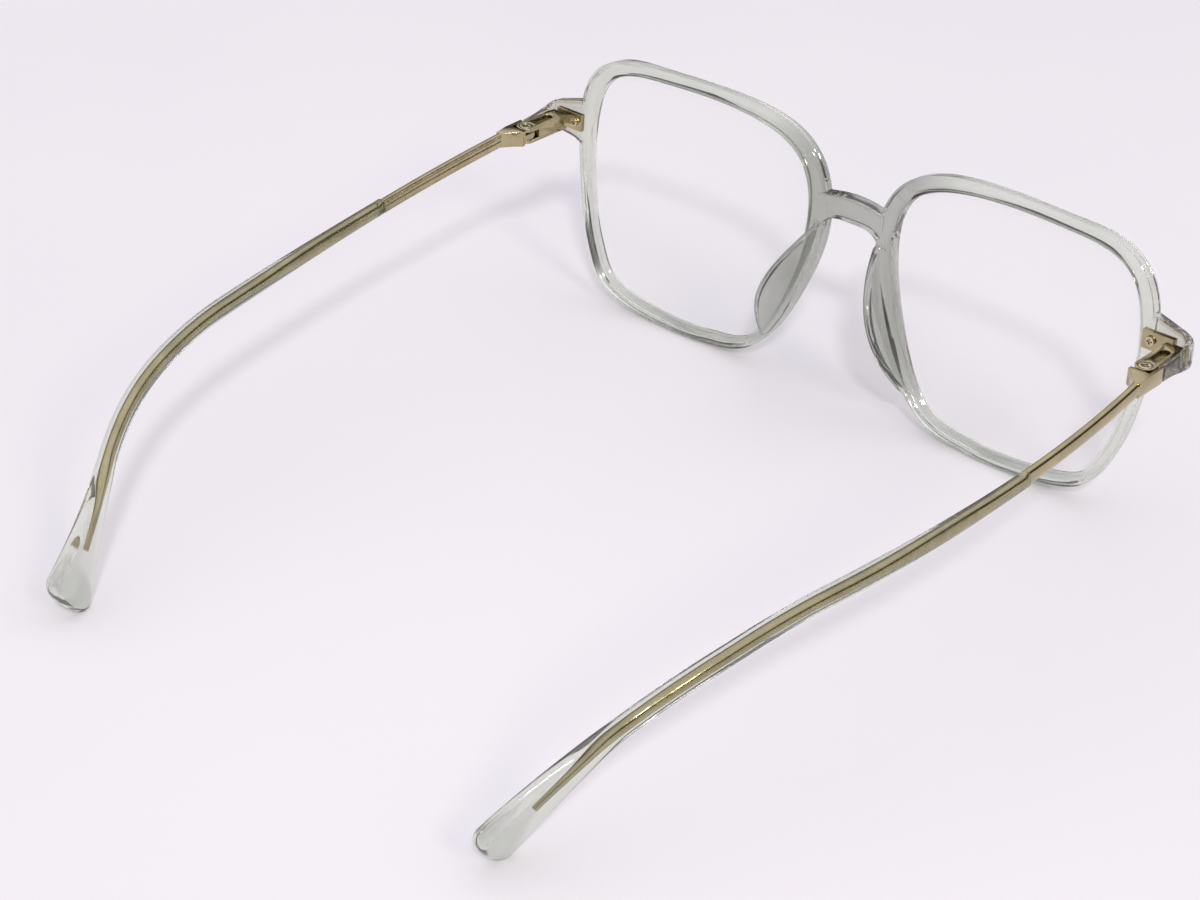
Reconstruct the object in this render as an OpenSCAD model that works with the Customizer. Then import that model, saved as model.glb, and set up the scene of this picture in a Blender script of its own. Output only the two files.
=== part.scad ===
// Full-rim eyeglasses: a clear moulded front, two metal temples and a clear sleeve on each temple end.
// They stand open on a table, on the two rims and the two sleeve tips.
// X runs to the wearer's right, Y forwards and Z up. Sizes are in millimetres.

/* [Lenses] */
// Width of a lens, across the ridge that seats in the rim
lens_w = 52; // [47:1:55]
// Height of a lens, across the same ridge
lens_h = 47; // [42:1:50]
// Gap between the two lenses, across the nose
lens_gap = 18; // [16:1:20]
// Thickness of a lens
lens_t = 1.8; // [1.4:0.1:2.2]
// Radius of the dome that lenses and rims follow
dome_r = 214; // [150:10:400]

/* [Rims] */
// Depth of the rim, front to back
rim_d = 3.2; // [2.8:0.1:3.8]
// Width of the rim along the top
rim_top_w = 2.5; // [2.2:0.1:3.2]
// Width of the rim at its upper outer corner
rim_corner_w = 3.2; // [2.6:0.1:3.8]
// Width of the rim down its outer side
rim_side_w = 2.1; // [1.9:0.1:2.8]
// Width of the rim along the bottom
rim_low_w = 2.1; // [1.9:0.1:2.8]
// Width of the rim at its upper inner corner
rim_brow_w = 3.2; // [2.6:0.1:3.8]
// Width of the rim beside the nose
rim_nose_w = 3.9; // [3.2:0.1:4.4]
// How far the outer edge of the rim stands forwards at its upper inner corner
brow_ahead = 0.8; // [0:0.1:1.2]
// Radius on the long edges of the rim
rim_edge_r = 0.7; // [0.4:0.1:0.9]
// Depth of the groove that holds the lens
groove_d = 0.5; // [0.4:0.1:0.7]
// Width of that groove at its mouth
groove_w = 1.0; // [0.8:0.1:1.2]
// Forward lean of the top of the front, in degrees
front_lean = 3.4; // [2:0.5:8]
// Backward wrap of the outer side of each lens, in degrees
front_wrap = 0.8; // [0:0.2:3]

/* [Bridge] */
// Height of the top of the bridge over the lens centres
bridge_rise = 14.4; // [12:0.2:16]
// Height of the bridge in its middle
bridge_h = 4.8; // [3.6:0.2:5.4]
// Drop of the top of the bridge where it meets the rims
bridge_top_drop = 1.2; // [0.5:0.1:2]
// Drop of its underside where it meets the rims
bridge_low_drop = 3.5; // [2:0.25:5]

/* [Nose pads] */
// How far a pad stands out behind its rim
pad_reach = 8.6; // [6:0.5:11]
// How far the pad splays outwards for each millimetre that it stands out
pad_splay = 0.33; // [0.2:0.01:0.5]
// Thickness of the pad at its root
pad_root_t = 1.9; // [1.4:0.1:2.6]
// Thickness of the pad at its free edge
pad_edge_t = 1.3; // [1:0.1:1.6]

/* [Lugs and hinges] */
// How far the outer face of a lug stands outside the ridge of its lens
lug_side = 9.4; // [8.8:0.1:11]
// Distance from the lens plane back to the hinge axis
hinge_back = 12.7; // [11:0.1:14]
// Height of the middle of the hinge over the lens centres
hinge_rise = 9.4; // [7:0.2:11]
// Wall of the lug outside the hinge
lug_wall = 0.7; // [0.6:0.1:1]
// Width of the hinge block, across
block_w = 3.8; // [3.6:0.1:4.4]
// Height of the hinge block
block_h = 3.0; // [2.8:0.1:3.6]
// Height of each of the two ears of the block
ear_h = 0.75; // [0.6:0.05:0.9]
// Thickness of each hinge washer
washer_t = 0.1; // [0.08:0.01:0.15]
// Diameter of the hinge screw's shank
shank_d = 1.4; // [1.2:0.1:1.6]
// Diameter of the hinge screw's head
head_d = 2.4; // [2.2:0.1:2.8]
// Height of the hinge screw's head
head_h = 0.4; // [0.3:0.05:0.5]
// Thickness of the leaf plate that lies in the back of the lug
plate_t = 1.0; // [0.8:0.1:1.2]
// Height of the leaf plate
plate_h = 3.4; // [3:0.2:4]
// Length of the leaf plate, from the block inwards
plate_l = 4.2; // [3.6:0.2:4.8]
// Diameter of the leaf screw's head
leaf_head_d = 1.7; // [1.5:0.1:2]
// Diameter of the leaf screw's shank
leaf_shank_d = 1.0; // [0.8:0.1:1.2]
// Length of the leaf screw below its head
leaf_screw_l = 2.4; // [1.8:0.1:2.6]

/* [Temples] */
// Length of a temple along its curve, from the hinge axis to the tip
temple_l = 148; // [140:1:152]
// Length of the temple's hinge piece, from the hinge axis to its seam with the bar
seam_l = 5.7; // [5:0.1:7]
// Height of the temple bar
bar_h = 2.8; // [2.4:0.1:3.2]
// Thickness of the temple bar
bar_t = 1.3; // [1.1:0.1:1.5]
// Width of the pressed groove in the inner face of the bar
press_w = 0.9; // [0.6:0.1:1.1]
// Depth of that groove
press_d = 0.3; // [0.2:0.05:0.4]
// Length of the bar, from its seam to the step down to the core wire
bar_l = 32.5; // [28:0.5:40]
// Height of the core wire where it leaves the bar
wire_h = 2.1; // [1.8:0.1:2.3]
// Diameter of the core wire at its end
wire_end_d = 1.4; // [1.2:0.1:1.6]
// Distance along the temple from the hinge axis to the mouth of the sleeve
sleeve_at = 75; // [65:1:85]
// Length of core wire inside the sleeve
wire_in = 63.5; // [56:0.5:66]
// Diameter of the sleeve along its slender part
sleeve_d = 3.1; // [2.8:0.1:3.4]
// Height of the paddle at the end of the sleeve
paddle_h = 11; // [8:0.5:12]
// Thickness of that paddle
paddle_t = 2.8; // [2.4:0.1:3.4]
// Length over which the slender part grows into the paddle
paddle_l = 26; // [20:1:32]
// Outward lean of the top of the paddle, in degrees
paddle_lean = 18; // [0:1:25]
// Distance along the temple from the hinge axis to the start of the ear bend
bend_at = 83; // [75:1:92]
// Downward slope of the temple behind the ear, in degrees
bend_dip = 39; // [28:1:42]
// Inward turn of the temple behind the ear, in degrees
bend_turn = 24; // [15:1:30]
// How far the left temple has been let in from fully open, in degrees
left_fold = 2.4; // [0:0.2:4]

/* [Clearances] */
// Gap around pieces that are fitted and don't move
fit_gap = 0.05; // [0.02:0.01:0.08]
// Gap around the shank of the hinge screw, and on each side of a washer
run_gap = 0.04; // [0.02:0.01:0.06]
// Gap between the temple and the lug that it stops on when open
stop_gap = 0.1; // [0.05:0.05:0.3]

/* [Hidden] */

// Helpers for curves and for solids that are lofted through rings of points.

function ease(t) = t * t * (3 - 2 * t);
function share(s, from, to) = max(0, min(1, (s - from) / (to - from)));
function blend(a, b, t) = a + (b - a) * t;
function mean(ring) = [for (k = [0 : 2]) sum([for (p = ring) p[k]]) / len(ring)];
function sum(list, i = 0) = i == len(list) ? 0 : list[i] + sum(list, i + 1);

// A point on the closed curve that the control points pull, q control points along.
function spline(points, q) =
    let (n = len(points), i = floor(q), t = q - i)
    ((1 - t) ^ 3 * points[(i + n - 1) % n] + (3 * t ^ 3 - 6 * t ^ 2 + 4) * points[i % n]
        + (-3 * t ^ 3 + 3 * t ^ 2 + 3 * t + 1) * points[(i + 1) % n] + t ^ 3 * points[(i + 2) % n]) / 6;

// A value between those of a closed list, smooth and through each of them.
function between(values, q) =
    let (n = len(values), i = floor(q), t = q - i)
    let (a = values[(i + n - 1) % n], b = values[i % n], c = values[(i + 1) % n], d = values[(i + 2) % n])
    b + t / 2 * (c - a + t * (2 * a - 5 * b + 4 * c - d + t * (3 * b - 3 * c + d - a)));

function band(a, b, n) = [for (k = [0 : n - 1]) let (l = (k + 1) % n)
    each [[a + k, a + l, b + l], [a + k, b + l, b + k]]];
function fan(a, tip, n, out) = [for (k = [0 : n - 1]) let (l = (k + 1) % n)
    out ? [a + k, a + l, tip] : [a + l, a + k, tip]];

// A solid through rings of points. A closed loft joins its last ring to its first.
module loft(rings, closed = false) {
    n = len(rings[0]);
    m = len(rings);
    walls = [for (i = [0 : m - (closed ? 1 : 2)]) each band(i * n, (i + 1) % m * n, n)];
    ends = closed ? [] : concat(fan(0, m * n, n, false), fan((m - 1) * n, m * n + 1, n, true));
    tips = closed ? [] : [mean(rings[0]), mean(rings[m - 1])];
    polyhedron([for (ring = rings) each ring, each tips], concat(walls, ends));
}

// The lens outline, drawn in shares of half its width and half its height, from the outer side
// round by the top, the nose and the bottom.
lens_shape = [[1, -0.26], [1.04, 0.97], [0.34, 0.98], [-0.14, 1.01], [-0.95, 0.92], [-1.04, 0.29],
    [-0.87, -0.38], [-0.61, -0.95], [-0.21, -0.97], [-0.05, -1.02], [0.72, -0.94], [0.84, -0.65]];
shape_steps = 6;
shape_n = len(lens_shape);
outline_n = shape_n * shape_steps;
shape_drawn = [for (i = [0 : outline_n - 1]) spline(lens_shape, i / shape_steps)];
shape_x = [for (p = shape_drawn) p.x];
shape_y = [for (p = shape_drawn) p.y];
shape_mid = [(max(shape_x) + min(shape_x)) / 2, (max(shape_y) + min(shape_y)) / 2];
shape_scale = [lens_w / (max(shape_x) - min(shape_x)), lens_h / (max(shape_y) - min(shape_y))];

// Widths of the rim at the same control points.
rim_widths = [rim_side_w, rim_corner_w, rim_top_w, rim_top_w, rim_brow_w, rim_nose_w,
    blend(rim_nose_w, rim_low_w, 0.5), rim_low_w, rim_low_w, rim_low_w, rim_low_w, rim_side_w];

// How far the outer half of the rim stands ahead of its inner half there.
rim_aheads = [0, 0, 0, 0.2, brow_ahead, brow_ahead * 0.8, 0, 0, 0, 0, 0, 0];

// The ridge of the lens, and the direction out of it, q control points along the outline.
function ridge(q) =
    let (p = spline(lens_shape, q) - shape_mid)
    [p.x * shape_scale.x, p.y * shape_scale.y];
function ridge_out(q) =
    let (d = ridge(q + shape_n + 0.02) - ridge(q + shape_n - 0.02))
    [d.y, -d.x] / norm(d);

// Where a point of the flat drawing of the front lies on the right side: u outwards, v up, y forwards.
lens_x = (lens_gap + lens_w) / 2;
front_w = lens_gap + 2 * lens_w + 2 * lug_side;
function on_dome(u, y, v, z0) =
    let (d = y - (u * u + v * v) / (2 * dome_r))
    let (back = d * cos(front_wrap) - u * sin(front_wrap))
    [lens_x + u * cos(front_wrap) + d * sin(front_wrap),
        back * cos(front_lean) + v * sin(front_lean),
        z0 + v * cos(front_lean) - back * sin(front_lean)];

// The same for a point beside the lens ridge: out is measured outwards from it.
function at_ridge(q, out, y, z0) =
    let (p = ridge(q) + ridge_out(q) * out)
    on_dome(p.x, y, p.y, z0);

// A nose pad is a wing that the rim's section grows at its back, beside the nose. Its reach swells
// and fades between two control points of the outline.
pad_from = 4.93;
pad_to = 6.7;
function pad_swell(q) = sin(180 * share(q, pad_from, pad_to) ^ 0.85);

// The section of the rim, from the groove round by the front. Where the wing stands, the points of
// its plain back have moved to the wing's outer face, its round free edge and its inner face.
function rim_section(w, ahead, reach) =
    let (out = w - groove_d, h = rim_d / 2, r = rim_edge_r, c = r * (1 - cos(45)))
    let (e = pad_edge_t / 2, free = out - pad_splay * reach, tip = -h - reach)
    let (side = [out, r - h + ahead], corner = [out - r, ahead - h], inner = [r - groove_d, -h])
    let (plain = [[out - c, c - h + ahead], each [for (k = [0 : 6]) blend(corner, inner, k / 7)]])
    let (root = min(pad_root_t, out - groove_d), edge = [free, tip + e])
    let (wing = [blend(side, edge, 0.1), blend(side, edge, 0.4), edge, [free - e / 2, tip + e / 8],
        [free - e * 3 / 2, tip + e / 8], [free - 2 * e, tip + e],
        [(out + free - root) / 2 - e, tip + reach / 2], [out - root, -h]])
    let (grown = ease(min(1, reach / e / 2)))
    [[fit_gap, 0], [-groove_d, groove_w / 2], [-groove_d, h - r], [c - groove_d, h - c],
        [r - groove_d, h], [out - r, h + ahead], [out - c, h - c + ahead], [out, h - r + ahead],
        side, each [for (k = [0 : 7]) blend(plain[k], wing[k], grown)], inner,
        [c - groove_d, c - h], [-groove_d, r - h], [-groove_d, -groove_w / 2]];
function rim_ring(q, z0) =
    let (section = rim_section(between(rim_widths, q), between(rim_aheads, q), pad_reach * pad_swell(q)))
    [for (s = section) at_ridge(q, s[0], s[1], z0)];

// The rims touch the table, which sets the height of the lens centres.
lens_z = -min([for (i = [0 : outline_n - 1]) each [for (p = rim_ring(i / shape_steps, 0)) p.z]]);
hinge = [front_w / 2 - lug_wall - block_w / 2, -hinge_back, lens_z + hinge_rise];

// The rings of a rim stand closer where its wing rises.
module rim() {
    rise = [floor(pad_from * shape_steps), floor(pad_from * shape_steps) + 4];
    stops = [for (i = [0 : outline_n - 1]) each i >= rise[0] && i < rise[1] ? [i, i + 0.5] : [i]];
    loft([for (i = stops) rim_ring(i / shape_steps, lens_z)], closed = true);
}

module lens() {
    edge = lens_t / 2;
    lip = groove_d + fit_gap;
    face = groove_w / 2 - fit_gap;
    function lens_ring(share, out, y) =
        [for (i = [0 : outline_n - 1])
            let (q = i / shape_steps, p = (ridge(q) + ridge_out(q) * out) * share)
            on_dome(p.x, y, p.y, lens_z)];
    loft([lens_ring(0.5, -lip, -edge), lens_ring(1, -lip, -edge), lens_ring(1, -lip, -face),
        lens_ring(1, 0, 0), lens_ring(1, -lip, face), lens_ring(1, -lip, edge),
        lens_ring(0.5, -lip, edge)]);
}

// The bridge: an arch whose top and underside drop towards the rims.
bridge_side = lens_gap / 2 + groove_d - rim_nose_w + 1.8;
bridge_y = at_ridge(5, (rim_nose_w - groove_d) / 2, 0, 0).y + 0.5;
module bridge() {
    steps = 14;
    h = rim_d / 2;
    r = rim_edge_r;
    c = r * (1 - cos(45));
    function bridge_ring(x) =
        let (a = abs(x) / bridge_side)
        let (top = lens_z + bridge_rise - bridge_top_drop * a ^ 2)
        let (low = lens_z + bridge_rise - bridge_h - bridge_low_drop * a ^ 4)
        [for (p = [[h - r, top], [h - c, top - c], [h, top - r], [h, low + r], [h - c, low + c],
            [h - r, low], [r - h, low], [c - h, low + c], [-h, low + r], [-h, top - r],
            [c - h, top - c], [r - h, top]]) [x, bridge_y + p[0], p[1]]];
    loft([for (i = [0 : steps]) bridge_ring(bridge_side * (2 * i / steps - 1))]);
}

// The lug: posts that are joined in turn, from inside the rim round the corner to the hinge.
// Each post has its place beside the hinge axis, its radius and its lowest and highest points.
// The first two stand off from the edge of the lens, so that they stay in the rim.
wall_x = block_w / 2 + fit_gap + (lug_wall - fit_gap) / 2;
wall_r = (lug_wall - fit_gap) / 2;
lug_front = hinge_back - 2.9;
arm_end = 1.5;
lens_edge = lug_wall + block_w / 2 - lug_side;
lug_posts = [[lens_edge + 0.9, lug_front + 0.95, 1.3, -1.2, 5.9],
    [lens_edge + 3.2, lug_front + 0.8, 1.2, -0.9, 5],
    [-1.2, lug_front + 0.7, 1.1, -0.7, 3.9], [0.8, lug_front + 0.6, 1.1, -0.6, 3.2],
    [wall_x - 0.6, lug_front + 0.3, 0.9, -0.7, 2.5], [wall_x, lug_front - 2, wall_r, -1, 1.7],
    [wall_x, lug_front - 5, wall_r, -1.4, 1.5],
    [wall_x, arm_end + wall_r, wall_r, -block_h / 2, block_h / 2 - 0.1]];
module lug_post(p) {
    bevel = min(0.4, p[2] * 0.6);
    translate([p[0], p[1], p[3] + bevel]) cylinder(r = p[2], h = p[4] - p[3] - 2 * bevel, $fn = 16);
    translate([p[0], p[1], p[3]]) cylinder(r = p[2] - bevel, h = p[4] - p[3], $fn = 16);
}
module lug() {
    translate(hinge) for (i = [0 : len(lug_posts) - 2]) hull() {
        lug_post(lug_posts[i]);
        lug_post(lug_posts[i + 1]);
    }
}

// The pocket in the back of the lug, which the leaf's plate lies in, and the hole for its screw.
plate_x = -block_w / 2 - plate_l;
plate_z = 1.0;
leaf_screw_x = plate_x + plate_l * 0.4;
module leaf_pocket() {
    open = 3;
    translate(hinge) {
        translate([plate_x - fit_gap, lug_front - plate_t - open, plate_z - plate_h / 2 - fit_gap])
            cube([plate_l + block_w / 2 + fit_gap, plate_t + open + fit_gap, plate_h + 2 * fit_gap]);
        translate([-block_w / 2 - fit_gap, -block_w, -block_h / 2 - fit_gap])
            cube([block_w + 2 * fit_gap, block_w + lug_front + fit_gap, block_h + 8]);
        translate([leaf_screw_x, lug_front, plate_z]) rotate([-90, 0, 0])
            cylinder(d = leaf_shank_d + 2 * fit_gap, h = leaf_screw_l - plate_t + fit_gap, $fn = 24);
    }
}

module front_half() {
    difference() {
        union() {
            rim();
            lug();
        }
        leaf_pocket();
    }
}

module front_frame() {
    color("gainsboro", 0.6) {
        front_half();
        mirror([1, 0, 0]) front_half();
        bridge();
    }
}

// The hinge. Its pieces are drawn about the hinge axis, with the slot between the ears at mid height.
slot_h = block_h - 2 * ear_h;
knuckle_h = slot_h - 2 * washer_t - 4 * run_gap;
ear_r = block_w / 2 - 0.1;
module hinge_leaf() {
    translate(hinge) difference() {
        union() {
            translate([0, 0, -block_h / 2]) cylinder(r = ear_r, h = block_h, $fn = 48);
            translate([-ear_r, 0, -block_h / 2]) cube([2 * ear_r, lug_front, block_h]);
            translate([plate_x, lug_front - plate_t, plate_z - plate_h / 2])
                cube([plate_l + block_w / 2, plate_t, plate_h]);
        }
        translate([-block_w, -block_w, -slot_h / 2]) cube([2 * block_w, block_w + ear_r, slot_h]);
        translate([0, 0, -block_h]) cylinder(d = shank_d + 2 * run_gap, h = 2 * block_h, $fn = 32);
        translate([0, 0, block_h / 2 - head_h]) cylinder(d = head_d + 2 * fit_gap, h = block_h, $fn = 32);
        translate([leaf_screw_x, 0, plate_z]) rotate([-90, 0, 0])
            cylinder(d = leaf_shank_d + 2 * fit_gap, h = hinge_back, $fn = 32);
        oval_pocket();
    }
}

// The oval pocket that is pressed into the top of the block.
module oval_pocket() {
    w = 1.8;
    l = 4.6;
    deep = 0.8;
    translate([0, lug_front / 2 - 0.2, block_h / 2 - deep]) {
        translate([0, l / 2 - w / 2, 0]) cylinder(d = w, h = block_h, $fn = 32);
        translate([0, w / 2 - l / 2, 0]) cylinder(d = w, h = block_h, $fn = 32);
        translate([-w / 2, w / 2 - l / 2, 0]) cube([w, l - w, block_h]);
    }
}

module leaf_screw() {
    head = 0.4;
    translate(hinge) translate([leaf_screw_x, lug_front - plate_t, plate_z]) rotate([-90, 0, 0]) {
        difference() {
            translate([0, 0, -head]) cylinder(d = leaf_head_d, h = head, $fn = 32);
            translate([0, 0, -head]) cross_recess(leaf_head_d * 0.6, head / 2);
        }
        cylinder(d = leaf_shank_d, h = leaf_screw_l, $fn = 32);
    }
}

// A cross of two slots, cut upwards from the origin.
module cross_recess(w, deep) {
    for (turn = [0, 90]) rotate([0, 0, turn]) translate([-w / 2, -w / 8, -deep])
        cube([w, w / 4, 2 * deep]);
}

module hinge_screw() {
    translate(hinge) {
        translate([0, 0, -block_h / 2]) cylinder(d = shank_d, h = block_h - head_h, $fn = 32);
        translate([0, 0, block_h / 2 - head_h]) difference() {
            cylinder(d = head_d, h = head_h, $fn = 32);
            translate([0, 0, head_h]) cross_recess(head_d * 0.6, head_h / 2);
        }
    }
}

module hinge_washers() {
    for (side = [-1, 1])
        translate(hinge) translate([0, 0, side * (slot_h / 2 - run_gap - washer_t / 2)]) difference() {
            cylinder(r = ear_r - 0.2, h = washer_t, center = true, $fn = 48);
            cylinder(d = shank_d + 2 * run_gap, h = 2 * washer_t, center = true, $fn = 32);
        }
}

// The temple's hinge piece: a knuckle on the axis and a body that tapers to the bar.
body_front = -block_w / 2 - stop_gap;
body_side = block_w * 0.42;
taper_from = body_front - 1;
bar_x = 1.9;
bar_z = -0.2;
module temple_hinge() {
    outer = wall_x + wall_r;
    knuckle_r = ear_r - 0.05;
    neck = 0.5;
    stop = [block_w / 2 + stop_gap, arm_end - stop_gap];
    from_above = [[-body_side, body_front], [stop.x, body_front], stop, [outer, stop.y],
        [outer, taper_from], [bar_x + bar_t / 2, -seam_l], [bar_x - bar_t / 2, -seam_l],
        [-body_side / 4, taper_from - 0.8], [-body_side, taper_from + 0.2]];
    from_beside = [[arm_end, -block_h / 2], [arm_end, block_h / 2], [taper_from, block_h / 2],
        [-seam_l, bar_z + bar_h / 2], [-seam_l, bar_z - bar_h / 2], [taper_from, -block_h / 2]];
    translate(hinge) difference() {
        union() {
            translate([0, 0, -knuckle_h / 2]) {
                cylinder(r = knuckle_r, h = knuckle_h, $fn = 48);
                translate([-knuckle_r, body_front - neck, 0])
                    cube([2 * knuckle_r, neck - body_front, knuckle_h]);
            }
            intersection() {
                translate([0, 0, -block_h]) linear_extrude(2 * block_h) polygon(from_above);
                rotate([90, 0, 90]) translate([0, 0, -block_w]) linear_extrude(3 * block_w)
                    polygon(from_beside);
            }
        }
        translate([0, 0, -block_h]) cylinder(d = shank_d + 2 * run_gap, h = 2 * block_h, $fn = 32);
    }
}

// The line that the temple follows, by distance from its seam with the hinge piece.
// It bows a little outwards, turns in and down behind the ear, and its tip rests on the table.
start = hinge + [bar_x, -seam_l, bar_z];
tip_s = temple_l - seam_l;
mouth_s = sleeve_at - seam_l;
wire_s = mouth_s + wire_in;
bend_s = bend_at - seam_l;
behind_l = tip_s - bend_s;
turn_in = [[0, -4.2], [bend_s * 0.39, 1.8], [bend_s * 0.96, 7.4], [bend_s + behind_l * 0.26, 11.4],
    [bend_s + behind_l * 0.615, bend_turn + 4], [bend_s + behind_l * 1.08, bend_turn - 4]];
dip = [[0, 4.8], [bend_s, 0.8], [bend_s + behind_l * 0.34, 14.5],
    [bend_s + behind_l * 0.68, bend_dip - 2], [bend_s + behind_l * 1.08, bend_dip]];
function heading(s, lower) = [lookup(s, turn_in), lookup(s, dip) + lower];
function ahead(a) = [-sin(a[0]) * cos(a[1]), -cos(a[0]) * cos(a[1]), -sin(a[1])];
function outwards(a) = [cos(a[0]), -sin(a[0]), 0];
function upwards(a) = [-sin(a[0]) * sin(a[1]), -cos(a[0]) * sin(a[1]), cos(a[1])];

// Distances at which the temple has a ring: closer where its section changes.
press_from = 2;
press_ramp = 0.6;
press_to = bar_l - 1;
step_l = 2.5;
bar_stops = concat([0, press_from],
    [for (k = [0 : 6]) blend(press_from + press_ramp, press_to - press_ramp, k / 6)],
    [press_to, bar_l, bar_l + step_l], [for (k = [1 : 7]) blend(bar_l + step_l, mouth_s, k / 7)]);
wire_steps = 17;
wire_stops = [for (k = [1 : wire_steps]) blend(mouth_s, wire_s, k / wire_steps)];
end_stops = [for (k = [1 : 7]) blend(wire_s, tip_s, sin(90 * k / 7))];
stops = concat(bar_stops, wire_stops, end_stops);
function walk(lower) = [for (i = 0, p = start; i < len(stops);
    p = i + 1 < len(stops)
        ? p + (stops[i + 1] - stops[i]) * ahead(heading((stops[i] + stops[i + 1]) / 2, lower)) : p,
    i = i + 1) p];

// The outer section of the sleeve: its height, its thickness and its outward lean.
paddle_from = tip_s - paddle_l;
end_round = 2.4;
function end_share(s) = sqrt(max(0.02, 1 - share(s, tip_s - end_round, tip_s) ^ 2));
function paddle_share(s) = share(s, paddle_from, tip_s - end_round);
function sleeve_h(s) = blend(sleeve_d, paddle_h, paddle_share(s) ^ 1.2) * end_share(s) ^ 0.7;
function sleeve_t(s) = blend(sleeve_d, paddle_t, paddle_share(s)) * end_share(s) ^ 0.5;
function sleeve_lean(s) = paddle_lean * share(s, blend(mouth_s, tip_s, 0.41), tip_s);

ring_n = 14;
function oval(w, h, square) =
    [for (k = [0 : ring_n - 1]) let (a = 45 - 360 / ring_n * k)
        [sign(cos(a)) * abs(cos(a)) ^ square * w / 2, sign(sin(a)) * abs(sin(a)) ^ square * h / 2]];
function leaned(points, lean) = [for (p = points)
    [p.x * cos(lean) + p.y * sin(lean), p.y * cos(lean) - p.x * sin(lean)]];
function ring_at(p, a, points) = [for (c = points) p + outwards(a) * c.x + upwards(a) * c.y];

function sleeve_ring(p, s, lower) =
    ring_at(p, heading(s, lower), leaned(oval(sleeve_t(s), sleeve_h(s), 0.8), sleeve_lean(s)));

// How far all slopes are lowered so that the tip comes down to the table, found step by step.
function tip_low(lower) =
    let (line = walk(lower), n = len(stops))
    min([for (i = [n - 8 : n - 1]) each [for (p = sleeve_ring(line[i], stops[i], lower)) p.z]]);
function settle(lower, tries) =
    tries == 0 ? lower : settle(lower + tip_low(lower) / tip_s * 180 / PI, tries - 1);
lower = settle(0, 4);
line = walk(lower);

// The section of the bar, with the pressed groove on its inner face.
function bar_section(deep) =
    let (x = bar_t / 2, y = bar_h / 2, r = 0.3, top = y - 0.5, low = top - press_w)
    [[x - 0.1, y - r], [x, y / 2], [x, -y / 2], [x - 0.1, r - y], [x - r, -y], [r - x, -y], [-x, r - y],
        [-x, low], [deep - x, low + 0.12], [deep - x, top - 0.12], [-x, top], [-x, y - r], [r - x, y],
        [x - r, y]];
function press_depth(s) = press_d * min(share(s, press_from, press_from + press_ramp),
    1 - share(s, press_to - press_ramp, press_to));
function wire_size(s) =
    let (t = share(s, bar_l, blend(mouth_s, tip_s, 0.11)))
    [blend(bar_t, wire_end_d, t), blend(wire_h, wire_end_d, ease(t))];
function core_section(s, grow) =
    let (size = wire_size(s))
    s < bar_l + 0.01 && grow == 0 ? bar_section(press_depth(s)) : oval(size[0] + grow, size[1] + grow, 0.9);

module temple_bar() {
    loft([for (i = [0 : len(bar_stops) + wire_steps - 1]) let (s = stops[i])
        ring_at(line[i], s == 0 ? [0, 0] : heading(s, lower), core_section(s, 0))]);
}

module temple_tip() {
    first = len(bar_stops) - 1;
    last = first + wire_steps;
    function inner_ring(i) =
        ring_at(line[i], heading(stops[i], lower), core_section(stops[i], 2 * fit_gap));
    function outer_ring(i) = sleeve_ring(line[i], stops[i], lower);
    loft(concat([for (i = [last : -1 : first]) inner_ring(i)],
        [for (i = [first : len(stops) - 1]) outer_ring(i)]));
}

// The origin is under the middle of the whole object, at the height of the table.
tip_rear = min([for (i = [len(stops) - 6 : len(stops) - 1])
    each [for (p = sleeve_ring(line[i], stops[i], lower)) p.y]]);
front_most = max([for (i = [0 : outline_n - 1]) each [for (p = rim_ring(i / shape_steps, 0)) p.y]]);
bar_most = max([for (p = line) p.x]) + bar_t / 2;
centre = [(max(bar_most, front_w / 2) - front_w / 2) / 2, (tip_rear + front_most) / 2, 0];
module right_side() {
    translate(-centre) children();
}
module left_side() {
    translate(-centre) mirror([1, 0, 0]) children();
}
module left_temple() {
    left_side() translate(hinge) rotate([0, 0, -left_fold]) translate(-hinge) children();
}

right_side() front_frame();
color("aliceblue", 0.3) left_side() lens();  // lens_left
color("aliceblue", 0.3) right_side() lens();  // lens_right
color("darkkhaki") left_side() hinge_leaf();  // hinge_leaf_left
color("darkkhaki") right_side() hinge_leaf();  // hinge_leaf_right
color("goldenrod") left_side() leaf_screw();  // leaf_screw_left
color("goldenrod") right_side() leaf_screw();  // leaf_screw_right
color("goldenrod") left_side() hinge_screw();  // hinge_screw_left
color("goldenrod") right_side() hinge_screw();  // hinge_screw_right
color("dimgray") left_side() hinge_washers();  // hinge_washers_left
color("dimgray") right_side() hinge_washers();  // hinge_washers_right
color("darkkhaki") left_temple() temple_hinge();  // temple_hinge_left
color("darkkhaki") right_side() temple_hinge();  // temple_hinge_right
color("darkkhaki") left_temple() temple_bar();  // temple_bar_left
color("darkkhaki") right_side() temple_bar();  // temple_bar_right
color("gainsboro", 0.6) left_temple() temple_tip();  // temple_tip_left
color("gainsboro", 0.6) right_side() temple_tip();  // temple_tip_right
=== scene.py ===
# %% [markdown]
# # Clear-front eyeglasses in Blender
# The CAD model gives the true size and the moving bodies of the glasses. This lesson dresses it:
# smooth clear plastic for the front and the temple tips, satin champagne metal for the hinges and
# the temple bars, and a pale table with soft light. Lengths of the glasses are written in
# millimetres and become metres when a mesh is made. Shaders, lights and the table use metres.

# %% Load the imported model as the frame
import math
import bmesh
import bpy
import numpy as np
from mathutils import Matrix, Vector


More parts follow.
